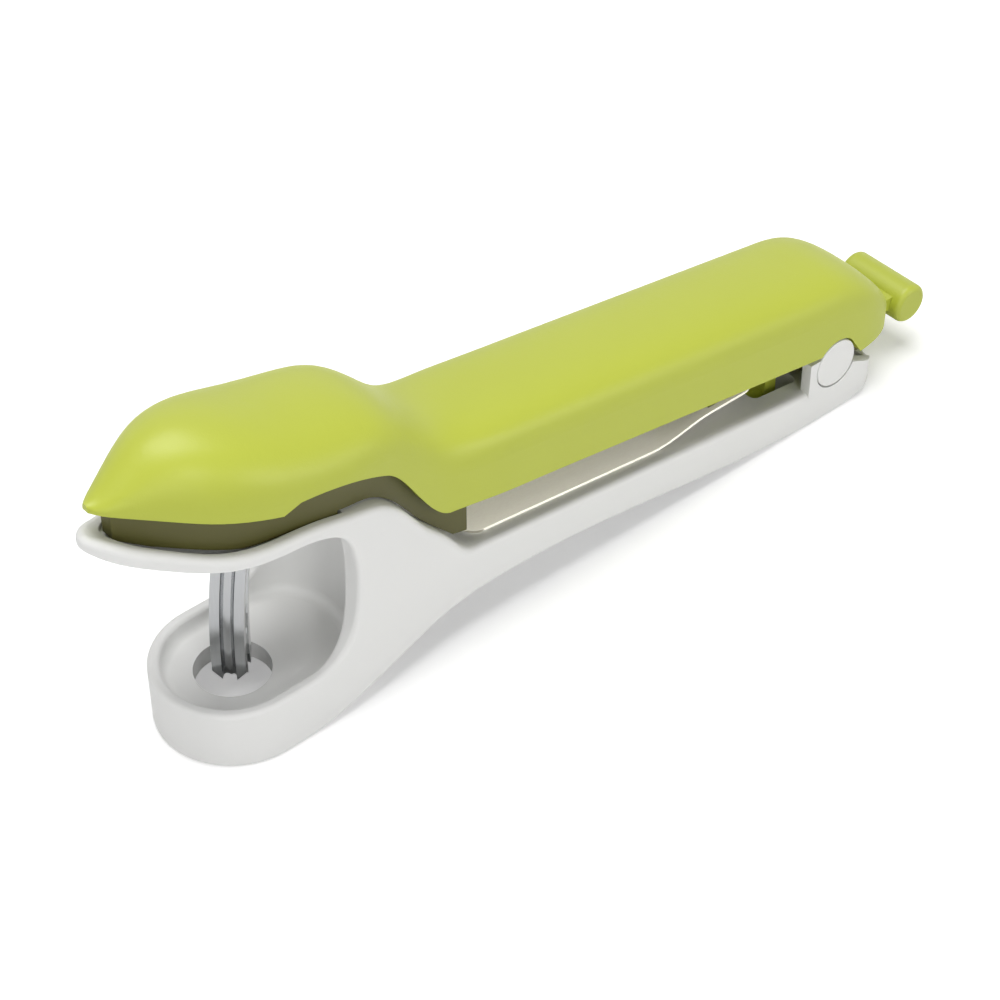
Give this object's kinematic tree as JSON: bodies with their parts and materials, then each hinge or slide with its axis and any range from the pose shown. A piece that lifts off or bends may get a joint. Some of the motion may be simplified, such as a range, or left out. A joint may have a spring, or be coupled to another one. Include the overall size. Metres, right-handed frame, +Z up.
{
  "type": "fruit pitter",
  "caption": "Hand-held cherry pitter: a green sprung lever drives a fluted rod through the fruit into a white stone cup on a long tail, with a sliding lock.",
  "frame": {"origin": "middle of the overall box, on the table under the cup's foot and the tail's rear foot", "axes": "+X from the stone cup back to the hinge, +Y to the left seen from the hinge towards the cup, +Z up"},
  "size_m": [0.1956, 0.0296, 0.0696],
  "materials": {
    "white_plastic": "satin",
    "green_plastic": "satin",
    "rod_steel": "polished",
    "spring_steel": "brushed",
    "screw_steel": "plain"
  },
  "bodies": {
    "frame": {"lower_frame": "white_plastic", "left_pivot_stud": "white_plastic", "right_pivot_stud": "white_plastic"},
    "lever": {"lever_shell": "green_plastic", "lever_core": "green_plastic", "core_screws": "screw_steel", "pitting_rod": "rod_steel", "rod_cross_pin": "screw_steel", "leaf_spring": "spring_steel", "spring_screws": "screw_steel", "slider_keeper": "green_plastic", "keeper_screws": "screw_steel"},
    "lock": {"lock_slider": "green_plastic"}
  },
  "joints": [
    {"name": "lever_hinge", "type": "hinge", "parent": "frame", "child": "lever", "pos_m": [0.06715, 0, 0.0127], "axis": [0, 1, 0], "range_deg": [0, 15.5], "deforming": ["leaf_spring"]},
    {"name": "lock_slide", "type": "slide", "parent": "lever", "child": "lock", "axis": [-1, 0, 0], "range_m": [0, 0.0034]}
  ]
}
